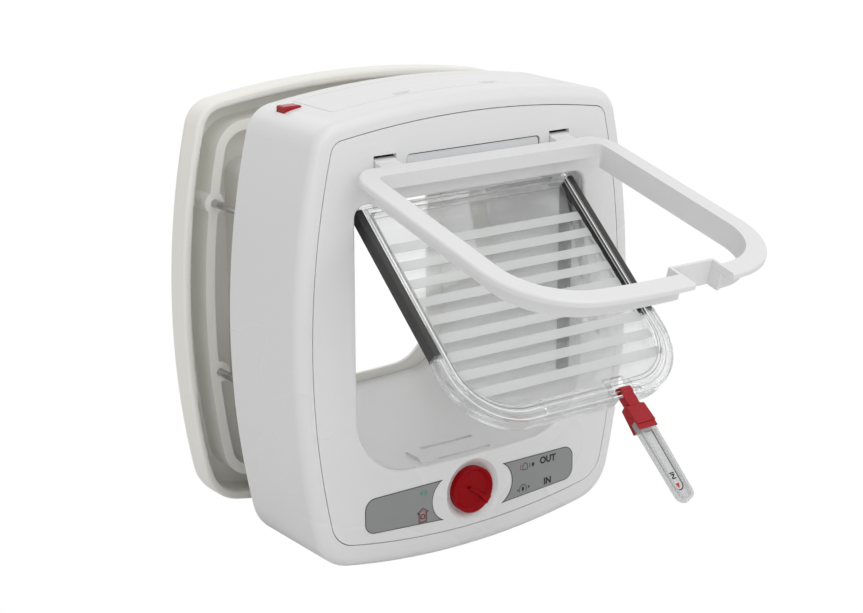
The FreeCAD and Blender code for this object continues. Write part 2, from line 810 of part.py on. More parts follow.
def make_lever():
    """Clear tapered lever with a raised rim, held in the clip's fork."""
    y = pivot_y - indicator_forward
    root = pivot_z - indicator_drop - clip_neck_length - clip_length + clip_grip
    tip = root - clip_grip - lever_length + lever_tip_half_width
    front = y - lever_depth / 2
    solid = through(lever_outline(front, lever_root_half_width, lever_tip_half_width, root, tip), lever_depth)
    tray = through(lever_outline(front - 1, lever_root_half_width - lever_rim, lever_tip_half_width - lever_rim,
                                 root - clip_grip - lever_rim, tip), lever_depth - lever_web + 1)
    return solid.cut(tray)


def make_knob():
    """Hollowed knob with a narrow grip fin that widens into a pointer at the rim, and its shaft."""
    front = knob_front
    back = front + knob_thickness
    inside = knob_radius - knob_rim
    disc = rod(knob_radius, (0, front, knob_z), (0, back, knob_z))
    disc = disc.cut(Part.makeCone(inside, inside - knob_hollow, knob_hollow, V(0, front, knob_z), V(0, 1, 0)))
    tip = knob_radius + pointer_overhang
    outline = [(-fin_tail, fin_half_width), (tip - pointer_length, fin_half_width), (tip, pointer_half_width),
               (tip, -pointer_half_width), (tip - pointer_length, -fin_half_width), (-fin_tail, -fin_half_width)]
    points = [V(x, front, knob_z + z) for x, z in outline]
    fin = through(Part.makePolygon(points + [points[0]]), fin_depth)
    shaft = rod(knob_shaft_radius, (0, back - 0.5, knob_z), (0, cam_front + cam_seat, knob_z))
    knob = disc.fuse(fin).fuse(shaft)
    knob.rotate(V(0, 0, knob_z), V(0, 1, 0), -knob_pointer_angle)
    return knob


def make_cam():
    """Two-lobed cam on the knob's shaft, behind the front panel."""
    center = rod(7.5, (0, cam_front, knob_z), (0, cam_front + cam_thickness, knob_z))
    lobe = block(-3.0, 3.0, cam_front, cam_front + cam_thickness, knob_z, knob_z + cam_radius)
    cam = center.fuse(lobe)
    lobe.rotate(V(0, 0, knob_z), V(0, 1, 0), 90)
    cam = cam.fuse(lobe)
    return cam.cut(rod(knob_shaft_radius + running_gap, (0, 0, knob_z), (0, cam_front + cam_seat, knob_z)))


def make_lock(y):
    top = opening_low - lock_drop
    low = top - lock_height
    plate = block(lock_left, lock_right, y - lock_thickness / 2, y + lock_thickness / 2, top - 12, top)
    for x0, x1 in ((lock_left + 4, lock_left + 9), (lock_right - 7, lock_right - 2)):
        plate = plate.fuse(block(x0, x1, y - lock_thickness / 2, y + lock_thickness / 2, low, top - 6))
    return plate


def make_lock_guide():
    """Channel under the tunnel floor that guides both lock plates."""
    top = opening_low - tunnel_wall - 1.6
    low = top - 6.0
    front = dish_depth + dish_floor + part_gap
    guide = block(slot_left - 4, slot_right + 4, front, lock_rear_y + 4, low, top)
    guide = guide.cut(block(slot_left - 1, slot_right + 1, lock_front_y + 4, lock_rear_y - 4, low - 1, top + 1))
    for y in (lock_front_y, lock_rear_y):
        guide = guide.cut(block(lock_left - soft_gap, lock_right + soft_gap,
                                y - lock_thickness / 2 - soft_gap, y + lock_thickness / 2 + soft_gap,
                                low - 1, top + 1))
    return guide


def make_catch():
    """Small ramped catch on the tunnel floor, beside the lock slots."""
    base = opening_low + 0.1
    corners = [V(catch_left, catch_front, base + 1.0), V(catch_left, catch_front + 4, base + catch_height),
               V(catch_left, catch_back, base + catch_height), V(catch_left, catch_back, base - 1),
               V(catch_left, catch_front, base - 1)]
    face = Part.Face(Part.makePolygon(corners + [corners[0]]))
    solid = face.extrude(V(catch_right - catch_left, 0, 0))
    return solid.cut(make_tunnel_floor())


def make_tunnel_floor():
    outer = tunnel_space(tunnel_front - 1, tunnel_back, 6.0)
    return outer.cut(tunnel_space(tunnel_front - 2, tunnel_back + 1, -0.05))


def make_seal():
    """Dark seal strip standing on the right wall of the tunnel."""
    strip = block(tunnel_front_half_width - seal_proud, tunnel_front_half_width + 3, seal_front, seal_back,
                  opening_low + 30.0, opening_high - 12.0)
    return strip.cut(tunnel_space(tunnel_front - 1, tunnel_back + 1, 6.0).cut(
        tunnel_space(tunnel_front - 2, tunnel_back + 2, -0.05)))


def make_cells():
    """Four cells in two rows below the battery lid."""
    z = cell_height()
    cells = []
    for start in (-cell_length - 1.5, 1.5):
        for y in (32.0, 48.0):
            can = rod(cell_radius, (start, y, z), (start + cell_length - 1, y, z))
            cap = rod(2.6, (start + cell_length - 1, y, z), (start + cell_length, y, z))
            cells.append(can.fuse(cap))
    return cells


def cell_height():
    return tunnel_front_high + tunnel_wall + 3.0 + 1.6 + cell_radius + 0.3


def make_tray():
    """Open tray on the tunnel's roof that holds the cells."""
    low = tunnel_front_high + tunnel_wall + 3.0 - 1.6
    high = cell_height() + 3
    half = cell_length + 1.5 + 2.4
    tray = block(-half, half, 22.0, 58.0, low, high)
    for y in (32.0, 48.0):
        tray = tray.cut(rod(cell_radius + 0.3, (-cell_length - 1.7, y, cell_height()),
                            (cell_length + 1.7, y, cell_height())))
        tray = tray.cut(block(-cell_length - 1.7, cell_length + 1.7, y - 7.3, y + 7.3,
                              cell_height(), high + 1))
    for x in (-tray_foot_x, tray_foot_x):
        tray = tray.fuse(block(x - 3, x + 3, 24.0, 56.0, low - 8, low + 0.5))
    return tray.cut(tunnel_space(tunnel_front, tunnel_back, tunnel_wall + 0.1))


def make_coil():
    """Reader coil wound round the tunnel, just behind the flap."""
    outer = lofted(tunnel_wire(30, tunnel_wall + 3.4), tunnel_wire(36, tunnel_wall + 3.4))
    inner = lofted(tunnel_wire(29, tunnel_wall + 0.1), tunnel_wire(37, tunnel_wall + 0.1))
    return outer.cut(inner).common(block(-beyond, beyond, 0, beyond, 0, tunnel_front_high - 10))


def make_parts():
    parts = {
        "front_bezel": make_bezel(),
        "front_panel": make_panel(),
        "housing": make_housing(),
        "tunnel": make_tunnel(),
        "rear_frame": make_rear_frame(),
        "battery_lid": make_lid(),
        "battery_tray": make_tray(),
        "circuit_board": make_board(),
        "board_bracket": make_board_bracket(),
        "learning_switch": make_switch(),
        "learning_button": make_button(),
        "reader_coil": make_coil(),
        "label_right": make_label(),
        "label_left": mirrored(make_label()),
        "tunnel_seal_right": make_seal(),
        "tunnel_seal_left": mirrored(make_seal()),
        "floor_catch": make_catch(),
        "lock_guide": make_lock_guide(),
        "front_lock": make_lock(lock_front_y),
        "rear_lock": make_lock(lock_rear_y),
        "knob": make_knob(),
        "knob_cam": make_cam(),
        "ring_pin_right": make_ring_pin(),
        "ring_pin_left": mirrored(make_ring_pin()),
        "lift_ring": ring_pose(make_ring()),
        "flap_pin_right": flap_pose(make_flap_pin()),
        "flap_pin_left": flap_pose(mirrored(make_flap_pin())),
        "flap_panel": flap_pose(make_flap()),
        "flap_strip_right": flap_pose(make_strip()),
        "flap_strip_left": flap_pose(mirrored(make_strip())),
        "indicator_pin": flap_pose(make_indicator_pin()),
        "indicator_clip": flap_pose(make_clip()),
        "indicator_lever": flap_pose(make_lever()),
    }
    for index, cell in enumerate(make_cells()):
        parts["battery_cell_%d" % (index + 1)] = cell
    for index, (x, z) in enumerate(screw_places()):
        parts["door_screw_%d" % (index + 1)] = make_screw(x, z)
    return parts


def main():
    parts = make_parts()
    front = min(point.y for point in parts["lift_ring"].tessellate(0.02)[0])
    shift = -(front + rear_back) / 2
    print("front reach %.3f, shift %.3f" % (front, shift))
    for name, shape in parts.items():
        placed = shape.copy()
        placed.translate(V(0, shift, 0))
        print("%-18s solids %d valid %s volume %.1f" % (name, len(placed.Solids), placed.isValid(), placed.Volume))
        if len(placed.Solids) == 1:
            placed = placed.Solids[0]
        placed.exportStep("parts/%s.step" % name)


main()
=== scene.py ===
import json
import math

import bmesh
import bpy
from mathutils import Matrix, Vector


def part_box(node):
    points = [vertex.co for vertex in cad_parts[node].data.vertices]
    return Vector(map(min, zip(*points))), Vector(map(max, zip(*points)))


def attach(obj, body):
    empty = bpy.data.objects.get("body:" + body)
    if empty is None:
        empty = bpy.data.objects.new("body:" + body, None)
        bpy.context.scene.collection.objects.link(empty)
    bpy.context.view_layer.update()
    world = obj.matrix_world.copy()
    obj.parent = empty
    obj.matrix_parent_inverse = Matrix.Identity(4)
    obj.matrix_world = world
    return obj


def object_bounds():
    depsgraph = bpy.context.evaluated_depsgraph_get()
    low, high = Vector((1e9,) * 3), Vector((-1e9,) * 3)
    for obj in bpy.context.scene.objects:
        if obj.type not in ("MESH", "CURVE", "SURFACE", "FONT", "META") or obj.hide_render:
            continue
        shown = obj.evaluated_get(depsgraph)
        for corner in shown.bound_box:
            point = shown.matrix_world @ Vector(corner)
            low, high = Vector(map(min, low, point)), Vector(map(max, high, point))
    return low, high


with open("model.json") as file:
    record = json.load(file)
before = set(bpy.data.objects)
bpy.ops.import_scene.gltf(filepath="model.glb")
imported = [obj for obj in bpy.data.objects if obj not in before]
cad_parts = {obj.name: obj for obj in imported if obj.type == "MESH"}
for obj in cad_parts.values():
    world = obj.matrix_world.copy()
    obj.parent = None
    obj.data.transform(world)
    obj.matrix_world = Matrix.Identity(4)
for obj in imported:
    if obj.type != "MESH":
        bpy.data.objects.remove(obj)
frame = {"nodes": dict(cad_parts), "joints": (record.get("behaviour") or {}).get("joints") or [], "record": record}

low_corner, high_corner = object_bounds()

MM = 0.001

# Places of the frame, in metres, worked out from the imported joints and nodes
joints = {joint["name"]: joint for joint in frame["joints"]}
flap_pivot = Vector(joints["flap_swing"]["pos_m"])
ring_pivot = Vector(joints["ring_swing"]["pos_m"])
indicator_pivot = Vector(joints["indicator_swing"]["pos_m"])
panel_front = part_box("front_panel")[0].y
flap_open_degrees = 48.38
flap_open = math.radians(flap_open_degrees)
flap_down = Vector((0, -math.sin(flap_open), -math.cos(flap_open)))
flap_out = Vector((0, -math.cos(flap_open), math.sin(flap_open)))
flap_turn = Matrix(((1, 0, 0), (0, -flap_down.y, flap_out.y), (0, -flap_down.z, flap_out.z))).to_4x4()
panel_turn = Matrix(((1, 0, 0), (0, 0, -1), (0, 1, 0))).to_4x4()


# Textures: features per metre, the part of the noise that is spread out, and the depth of the grain
cloud_scale = 9.0
grain_scale = 1600.0
clear_scale = 60.0
brushed_scale = 400.0
noise_low = 0.3
noise_high = 0.7
grain_depth = 0.1 * MM
brushed_strength = 0.1
moulded_ior = 1.47
acrylic_ior = 1.49


def new_material(name):
    material = bpy.data.materials.new(name)
    material.use_nodes = True
    tree = material.node_tree
    tree.nodes.clear()
    output = tree.nodes.new("ShaderNodeOutputMaterial")
    shader = tree.nodes.new("ShaderNodeBsdfPrincipled")
    tree.links.new(shader.outputs["BSDF"], output.inputs["Surface"])
    return material, tree, shader


def noise(tree, scale, detail=2.0):
    coordinates = tree.nodes.new("ShaderNodeTexCoord")
    texture = tree.nodes.new("ShaderNodeTexNoise")
    texture.inputs["Scale"].default_value = scale
    texture.inputs["Detail"].default_value = detail
    tree.links.new(coordinates.outputs["Object"], texture.inputs["Vector"])
    return texture


def varied(tree, texture, low, high):
    """A value that runs from low to high with a texture."""
    spread = tree.nodes.new("ShaderNodeMapRange")
    spread.inputs["From Min"].default_value = noise_low
    spread.inputs["From Max"].default_value = noise_high
    spread.inputs["To Min"].default_value = low
    spread.inputs["To Max"].default_value = high
    tree.links.new(texture.outputs["Fac"], spread.inputs["Value"])
    return spread.outputs["Result"]


def tinted(tree, texture, first, second):
    """A colour that runs from the first to the second with a texture."""
    mix = tree.nodes.new("ShaderNodeMix")
    mix.data_type = "RGBA"
    mix.inputs["A"].default_value = (*first, 1.0)
    mix.inputs["B"].default_value = (*second, 1.0)
    tree.links.new(texture.outputs["Fac"], mix.inputs["Factor"])
    return mix.outputs["Result"]


def bump(tree, shader, texture, strength):
    node = tree.nodes.new("ShaderNodeBump")
    node.inputs["Strength"].default_value = strength
    node.inputs["Distance"].default_value = grain_depth
    tree.links.new(texture.outputs["Fac"], node.inputs["Height"])
    tree.links.new(node.outputs["Normal"], shader.inputs["Normal"])


def moulded(name, first, second, rough_low, rough_high, grain=0.006, gloss=0.5):
    """Moulded plastic: a slight change of shade, uneven gloss and a very fine grain."""
    material, tree, shader = new_material(name)
    cloud = noise(tree, cloud_scale)
    fine = noise(tree, grain_scale, 1.0)
    tree.links.new(tinted(tree, cloud, first, second), shader.inputs["Base Color"])
    tree.links.new(varied(tree, cloud, rough_low, rough_high), shader.inputs["Roughness"])
    bump(tree, shader, fine, grain)
    shader.inputs["IOR"].default_value = moulded_ior
    shader.inputs["Specular IOR Level"].default_value = gloss
    return material


def clear_plastic(name, first, second, alpha, rough_low, rough_high, transmission):
    """See-through plastic: transmission bends the light, and the rest of alpha lets it straight through."""
    material, tree, shader = new_material(name)
    cloud = noise(tree, clear_scale)
    tree.links.new(tinted(tree, cloud, first, second), shader.inputs["Base Color"])
    tree.links.new(varied(tree, cloud, rough_low, rough_high), shader.inputs["Roughness"])
    shader.inputs["Transmission Weight"].default_value = transmission
    shader.inputs["Alpha"].default_value = alpha
    shader.inputs["IOR"].default_value = acrylic_ior
    return material


def metal(name, first, second, rough_low, rough_high):
    material, tree, shader = new_material(name)
    brushed = noise(tree, brushed_scale)
    tree.links.new(tinted(tree, brushed, first, second), shader.inputs["Base Color"])
    tree.links.new(varied(tree, brushed, rough_low, rough_high), shader.inputs["Roughness"])
    shader.inputs["Metallic"].default_value = 1.0
    bump(tree, shader, brushed, brushed_strength)
    return material


white = moulded("white_gloss", (0.775, 0.775, 0.775), (0.785, 0.785, 0.785), 0.27, 0.285)
ring_white = moulded("ring_gloss", (0.77, 0.77, 0.77), (0.78, 0.78, 0.78), 0.29, 0.305)
tunnel_white = moulded("tunnel_satin", (0.81, 0.81, 0.81), (0.82, 0.82, 0.82), 0.36, 0.375)
cream = moulded("frame_cream", (0.87, 0.86, 0.81), (0.88, 0.87, 0.82), 0.30, 0.315)
inner_white = moulded("inner_moulding", (0.70, 0.70, 0.68), (0.76, 0.76, 0.74), 0.45, 0.6)
red = moulded("red_gloss", (0.34, 0.0, 0.006), (0.37, 0.0, 0.009), 0.22, 0.26, gloss=0.38)
deep_red = moulded("red_satin", (0.30, 0.0, 0.003), (0.32, 0.0, 0.005), 0.30, 0.34, gloss=0.12)
black = moulded("soft_black", (0.022, 0.021, 0.021), (0.036, 0.035, 0.034), 0.38, 0.5, grain=0.05)
label_grey = moulded("label_grey", (0.27, 0.275, 0.275), (0.285, 0.29, 0.29), 0.38, 0.42)
ink = moulded("ink", (0.008, 0.008, 0.008), (0.016, 0.016, 0.016), 0.5, 0.6, grain=0.0)
ink_green = moulded("ink_green", (0.11, 0.27, 0.22), (0.14, 0.31, 0.26), 0.5, 0.6, grain=0.0)
ink_red = moulded("ink_red", (0.50, 0.03, 0.02), (0.58, 0.05, 0.03), 0.5, 0.6, grain=0.0)
plate_white = moulded("recess_plate", (0.70, 0.71, 0.72), (0.73, 0.74, 0.75), 0.3, 0.4)
# Painted shade and painted highlight: dark, grey and bright lines drawn along the clear flap's rim and the lever's
# channel, standing for the shade and glints of their clear edges.
painted_edge_dark_shade = moulded("painted_edge_dark_shade", (0.10, 0.10, 0.10), (0.14, 0.14, 0.14), 0.3, 0.4)
painted_edge_shade = moulded("painted_edge_shade", (0.42, 0.43, 0.43), (0.50, 0.51, 0.51), 0.2, 0.3)
painted_edge_highlight = moulded("painted_edge_highlight", (0.88, 0.89, 0.89), (0.92, 0.93, 0.93), 0.1, 0.2)
board_green = moulded("board_green", (0.01, 0.09, 0.04), (0.02, 0.14, 0.06), 0.4, 0.5)
clear = clear_plastic("clear_plastic", (0.93, 0.94, 0.94), (0.96, 0.97, 0.97), 0.62, 0.02, 0.05, 1.0)
lever_clear = clear_plastic("lever_clear", (0.58, 0.59, 0.59), (0.62, 0.63, 0.63), 0.52, 0.08, 0.14, 0.0)
frosted = clear_plastic("frosted_band", (0.72, 0.73, 0.73), (0.76, 0.77, 0.77), 0.60, 0.45, 0.6, 0.0)
steel = metal("screw_steel", (0.42, 0.42, 0.42), (0.55, 0.55, 0.55), 0.25, 0.4)
copper = metal("coil_copper", (0.55, 0.25, 0.12), (0.62, 0.30, 0.15), 0.3, 0.4)

finishes = {
    "case_white": white,
    "ring_white": ring_white,
    "tunnel_white": tunnel_white,
    "frame_cream": cream,
    "inner_white": inner_white,
    "red": red,
    "clear": clear,
    "strip_black": black,
    "label_grey": label_grey,
    "steel": steel,
    "board_green": board_green,
    "black": black,
    "copper": copper,
    "cell": steel,
}
own_finishes = {"knob": deep_red, "indicator_lever": lever_clear}


def dress_nodes():
    """Give each CAD node its own finish, or the finish of its material slot."""
    for part in frame["record"]["subparts"]:
        node = frame["nodes"][part["node"]]
        node.data.materials.clear()
        finish = own_finishes.get(part["node"], finishes[part["material_slot"]])
        node.data.materials.append(finish)


def mesh_object(name, mesh_builder, material, body):
    """Piece made from a bmesh, riding on a body and taking the given finish."""
    mesh = bpy.data.meshes.new(name)
    mesh_builder.to_mesh(mesh)
    mesh_builder.free()
    mesh.materials.append(material)
    piece = bpy.data.objects.new(name, mesh)
    bpy.context.scene.collection.objects.link(piece)
    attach(piece, body)
    return piece


def add_into(whole, one):
    """Move one bmesh into another."""
    mesh = bpy.data.meshes.new("piece")
    one.to_mesh(mesh)
    one.free()
    whole.from_mesh(mesh)
    bpy.data.meshes.remove(mesh)


def arc(radius, start, sweep, steps):
    """Points of an arc about the origin, from a start angle and through a sweep, both in degrees."""
    turns = [math.radians(start + sweep * step / steps) for step in range(steps + 1)]
    return [(radius * math.cos(turn), radius * math.sin(turn)) for turn in turns]


def circle(radius, steps=16):
    return arc(radius, 0, 360, steps)[:-1]


def plate_from(outline, place, thickness):
    """bmesh of a flat plate: outline points in its own plane, set in place, and given a thickness."""
    plate = bmesh.new()
    ring = [plate.verts.new(place @ Vector((x, y, 0))) for x, y in outline]
    face = plate.faces.new(ring)
    made = bmesh.ops.extrude_face_region(plate, geom=[face])
    moved = [item for item in made["geom"] if isinstance(item, bmesh.types.BMVert)]
    bmesh.ops.translate(plate, verts=moved, vec=place.to_3x3() @ Vector((0, 0, thickness)))
    bmesh.ops.recalc_face_normals(plate, faces=plate.faces)
    return plate


def panel_place(x, z, proud):
    """Placement on the front panel: local x to the right, y up and z towards the viewer."""
    return Matrix.Translation((x, panel_front - proud, z)) @ panel_turn


def flap_place(pivot, x, drop, proud):
    """Placement below a pivot: local x to the right, y up along the flap and z out of its front."""
    return Matrix.Translation(pivot + Vector((x, 0, 0)) + flap_down * drop + flap_out * proud) @ flap_turn


def rounded_box(half_width, half_height, radius, steps=5):
    points = []
    corners = ((1, 1, 0), (-1, 1, 90), (-1, -1, 180), (1, -1, 270))
    for sign_x, sign_y, start in corners:
        center_x = sign_x * (half_width - radius)
        center_y = sign_y * (half_height - radius)
        points += [(center_x + x, center_y + y) for x, y in arc(radius, start, 90, steps)]
    return points


band_pitch = 11.25 * MM
band_first = 33.45 * MM
band_height = 5.4 * MM
band_reach = 64.2 * MM
band_count = 9
band_corner = 0.8 * MM
band_thickness = 0.08 * MM
sheet_proud = 0.45 * MM


def make_bands():
    """Frosted bands on the flap's sheet, one mesh."""
    all_bands = bmesh.new()
    for index in range(band_count):
        place = flap_place(flap_pivot, 0, band_first + index * band_pitch, sheet_proud)
        outline = rounded_box(band_reach, band_height / 2, band_corner, 3)
        add_into(all_bands, plate_from(outline, place, band_thickness))
    return mesh_object("frosted_bands", all_bands, frosted, "flap")


# Heights of the printed work above its surface, and its thicknesses
label_proud = 0.22 * MM
word_thickness = 0.04 * MM
sign_thickness = 0.06 * MM
line_thickness = 0.05 * MM


def words(name, text, size, place, material, body, weight):
    """Flat letters, made bolder by a weight."""
    curve = bpy.data.curves.new(name, "FONT")
    curve.body = text
    curve.size = size
    curve.align_x = "CENTER"
    curve.align_y = "CENTER"
    curve.extrude = word_thickness
    curve.offset = weight
    curve.resolution_u = 4
    curve.materials.append(material)
    piece = bpy.data.objects.new(name, curve)
    piece.matrix_world = place
    bpy.context.scene.collection.objects.link(piece)
    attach(piece, body)
    return piece


def make_sign(name, outline, x, z, material):
    """Filled sign on a printed plate, with all its measures in millimetres."""
    scaled = [(px * MM, pz * MM) for px, pz in outline]
    plate = plate_from(scaled, panel_place(x * MM, z * MM, label_proud), sign_thickness)
    return mesh_object(name, plate, material, "case")


def triangle(width, height, pointing):
    """Arrow head that points right for 1 and left for -1."""
    tip = pointing * width / 2
    return [(tip, 0), (-tip, height / 2), (-tip, -height / 2)]


def stroke(points, width, closed, place, thickness):
    """bmesh of a drawn line: one thin plate along each step of a path."""
    drawn = bmesh.new()
    ends = points[1:] + points[:1] if closed else points[1:]
    for start, end in zip(points, ends):
        along = Vector((end[0] - start[0], end[1] - start[1])).normalized() * width / 2
        side = Vector((-along.y, along.x))
        first = Vector(start) - along
        last = Vector(end) + along
        quad = [first - side, last - side, last + side, first + side]
        add_into(drawn, plate_from([tuple(corner) for corner in quad], place, thickness))
    return drawn


def make_line(name, points, width, closed, x, z, material, proud=label_proud):
    """Drawn line on the front panel, with its path, width and place in millimetres."""
    scaled = [(px * MM, pz * MM) for px, pz in points]
    drawn = stroke(scaled, width * MM, closed, panel_place(x * MM, z * MM, proud), line_thickness)
    return mesh_object(name, drawn, material, "case")


label_edge_width = 0.35 * MM
label_edge_lift = 0.04 * MM
label_edge_thickness = 0.03 * MM
weld_distance = 0.001 * MM


def make_label_edge(name, node_name):
    """Fine dark line along the border of a printed plate, found from the plate's own front face."""
    source = bmesh.new()
    source.from_mesh(frame["nodes"][node_name].data)
    bmesh.ops.remove_doubles(source, verts=source.verts, dist=weld_distance)
    front = {face for face in source.faces if face.normal.y < -0.99}
    drawn = bmesh.new()
    for edge in source.edges:
        inside = [face for face in edge.link_faces if face in front]
        if len(inside) != 1:
            continue
        start, end = (Vector((vert.co.x, vert.co.z)) for vert in edge.verts)
        along = (end - start).normalized()
        side = Vector((-along.y, along.x))
        middle = inside[0].calc_center_median()
        if side.dot(Vector((middle.x, middle.z)) - start) < 0:
            side = -side
        level = edge.verts[0].co.y - label_edge_lift
        corners = [start, end, end + side * label_edge_width, start + side * label_edge_width]
        drawn.faces.new([drawn.verts.new((corner.x, level, corner.y)) for corner in corners])
    source.free()
    made = bmesh.ops.extrude_face_region(drawn, geom=list(drawn.faces))
    moved = [item for item in made["geom"] if isinstance(item, bmesh.types.BMVert)]
    bmesh.ops.translate(drawn, verts=moved, vec=(0, -label_edge_thickness, 0))
    bmesh.ops.recalc_face_normals(drawn, faces=drawn.faces)
    return mesh_object(name, drawn, ink, "case")


# Places of the printed signs on the front panel, in millimetres from its middle and from below
out_row = 39.7
in_row = 26.6
word_column = 53.5
word_size = 5.4 * MM
word_weight = 0.22 * MM
left_column = -34.3
house_outline = [(-2.6, -4.0), (2.6, -4.0), (2.6, 1.6), (3.6, 1.6),
                 (0.0, 4.2), (-3.6, 1.6), (-2.6, 1.6)]
small_house = [(-1.6, -1.9), (1.6, -1.9), (1.6, 1.0), (0.0, 2.2), (-1.6, 1.0)]
doorway = [(0.5, -1.2), (-0.5, -1.2), (-0.5, 1.2), (0.5, 1.2)]


def make_words():
    for name, text, row in (("word_out", "OUT", out_row), ("word_in", "IN", in_row)):
        place = panel_place(word_column * MM, row * MM, label_proud)
        words(name, text, word_size, place, ink, "case", word_weight)


def make_left_signs():
    """Two small arrows, and a house with a lining and a ring."""
    make_sign("arrow_left", triangle(2.4, 3.6, -1), -35.3, out_row, ink_green)
    make_sign("arrow_right", triangle(2.4, 3.6, 1), -31.9, out_row, ink_green)
    lining = [(px * 0.72, pz * 0.78) for px, pz in house_outline]
    make_line("house_line", house_outline, 0.4, True, left_column, 26.8, ink)
    make_line("house_lining", lining, 0.35, True, left_column, 26.6, ink_red)
    make_line("house_ring", circle(1.3), 0.5, True, left_column, 26.0, ink_red)


def spot(half_width, half_height):
    return [(px * half_width, pz * half_height) for px, pz in circle(1.0, 10)]


def make_out_sign():
    """A small house with its doorway, a wave and a spot."""
    make_line("sign_out_house", small_house, 0.35, True, 37.0, 39.0, ink)
    make_line("sign_out_door", doorway, 0.4, False, 34.2, 38.8, ink_red)
    make_line("sign_out_wave", arc(1.8, -40, 80, 5), 0.3, False, 38.6, 39.0, ink)
    make_sign("sign_out_spot", spot(0.9, 1.3), 42.7, 39.0, ink)


def make_in_sign():
    """An arch with a spot in it and an arrow on each side."""
    arch = [(-2.4, -1.8)] + arc(2.4, 180, -180, 8) + [(2.4, -1.8)]
    make_line("sign_in_arch", arch, 0.35, False, 35.6, 26.0, ink)
    make_sign("sign_in_spot", spot(0.8, 1.4), 35.6, 25.8, ink)
    make_sign("sign_in_arrow", triangle(1.3, 1.9, 1), 40.0, 26.2, ink)
    make_sign("sign_in_tail", triangle(1.1, 1.5, 1), 32.2, 25.6, ink)


def make_signs():
    make_words()
    make_left_signs()
    make_out_sign()
    make_in_sign()
    for side in ("right", "left"):
        make_label_edge("label_edge_" + side, "label_" + side)


# The flap and its rim, from the frame and in the flap's own directions
flap_half_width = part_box("flap_panel")[1].x
indicator_above_foot = 4.2 * MM
flap_length = (indicator_pivot - flap_pivot).dot(flap_down) + indicator_above_foot
rim_top_drop = 10.0 * MM
foot_height = 44.0 * MM
foot_top_drop = flap_length - foot_height
rim_corner = 36.0 * MM
rim_proud = 3.72 * MM
rim_line_thickness = 0.04 * MM
sheet_top_drop = 12.2 * MM
hinge_line_drop = 9.4 * MM
hinge_line_inset = 6.0 * MM
corner_steps = 12


def rim_path(inset, foot_inset, top_drop):
    """Path down one long side of the flap, round its foot and up the other side."""
    half = flap_half_width - inset
    low = foot_inset - flap_length
    radius = rim_corner - inset
    left = [(x - half + radius, y + low + radius) for x, y in arc(radius, 180, 90, corner_steps)]
    right = [(x + half - radius, y + low + radius) for x, y in arc(radius, 270, 90, corner_steps)]
    return [(-half, -top_drop)] + left + right + [(half, -top_drop)]


def make_rim_line(name, path, width, closed, material):
    """Painted line of highlight or shade on the flap's front, with its width in millimetres."""
    place = flap_place(flap_pivot, 0, 0, rim_proud)
    drawn = stroke(path, width * MM, closed, place, rim_line_thickness)
    mesh_object(name, drawn, material, "flap")


def make_rim_lines():
    """Painted highlights and painted shade: the bright and dark lines that the flap's clear rails and rim show
    along their edges.
    """
    make_rim_line("rim_inner_line", rim_path(8.1 * MM, 10.3 * MM, sheet_top_drop), 0.5, True, painted_edge_shade)
    make_rim_line("rim_rail_line", rim_path(6.9 * MM, 8.2 * MM, rim_top_drop), 0.3, False, painted_edge_dark_shade)
    make_rim_line("rim_rail_painted_highlight", rim_path(5.9 * MM, 6.6 * MM, rim_top_drop), 0.8, False, painted_edge_highlight)
    make_rim_line("rim_step_line", rim_path(4.8 * MM, 4.4 * MM, rim_top_drop), 0.35, False, painted_edge_shade)
    make_rim_line("rim_outer_painted_highlight", rim_path(1.9 * MM, 1.9 * MM, foot_top_drop), 0.7, False, painted_edge_highlight)
    make_rim_line("rim_outer_line", rim_path(0.9 * MM, 0.9 * MM, foot_top_drop), 0.3, False, painted_edge_shade)
    hinge_half = flap_half_width - hinge_line_inset
    hinge_line = [(-hinge_half, -hinge_line_drop), (hinge_half, -hinge_line_drop)]
    make_rim_line("rim_hinge_line", hinge_line, 0.4, False, painted_edge_shade)


# The plate in the recess above the opening: its place above the ring's pins and its sizes
recess_above_pins = 5.63 * MM
recess_half_width = 43.6 * MM
recess_half_height = 3.0 * MM
recess_corner = 2.0 * MM
recess_plate_depth = 0.78 * MM
recess_plate_thickness = 0.1 * MM
recess_line_depth = 0.66 * MM


def make_recess_plate():
    """Pale plate with a fine dark border in the recess above the opening."""
    middle = ring_pivot.z + recess_above_pins
    border = rounded_box(recess_half_width, recess_half_height, recess_corner)
    plate = plate_from(border, panel_place(0, middle, -recess_plate_depth), recess_plate_thickness)
    mesh_object("recess_plate", plate, plate_white, "case")
    line = [(px / MM, pz / MM) for px, pz in border]
    make_line("recess_border", line, 0.4, True, 0, middle / MM, ink, -recess_line_depth)


# The lever's marks, as distances down from the indicator's pivot
lever_floor = -0.6 * MM
lever_top_drop = 23.5 * MM
lever_word_drop = 50.4 * MM
lever_arrow_drop = 56.4 * MM
lever_inner_drop = 58.6 * MM
lever_mark_lift = 0.1 * MM
lever_line_lift = 0.02 * MM
lever_line_width = 0.6 * MM
lever_line_half = 3.1 * MM
lever_taper = 0.4 * MM
lever_word_size = 4.0 * MM
lever_word_weight = 0.12 * MM
lever_arrow_half_width = 1.3 * MM
lever_arrow_half_height = 1.5 * MM


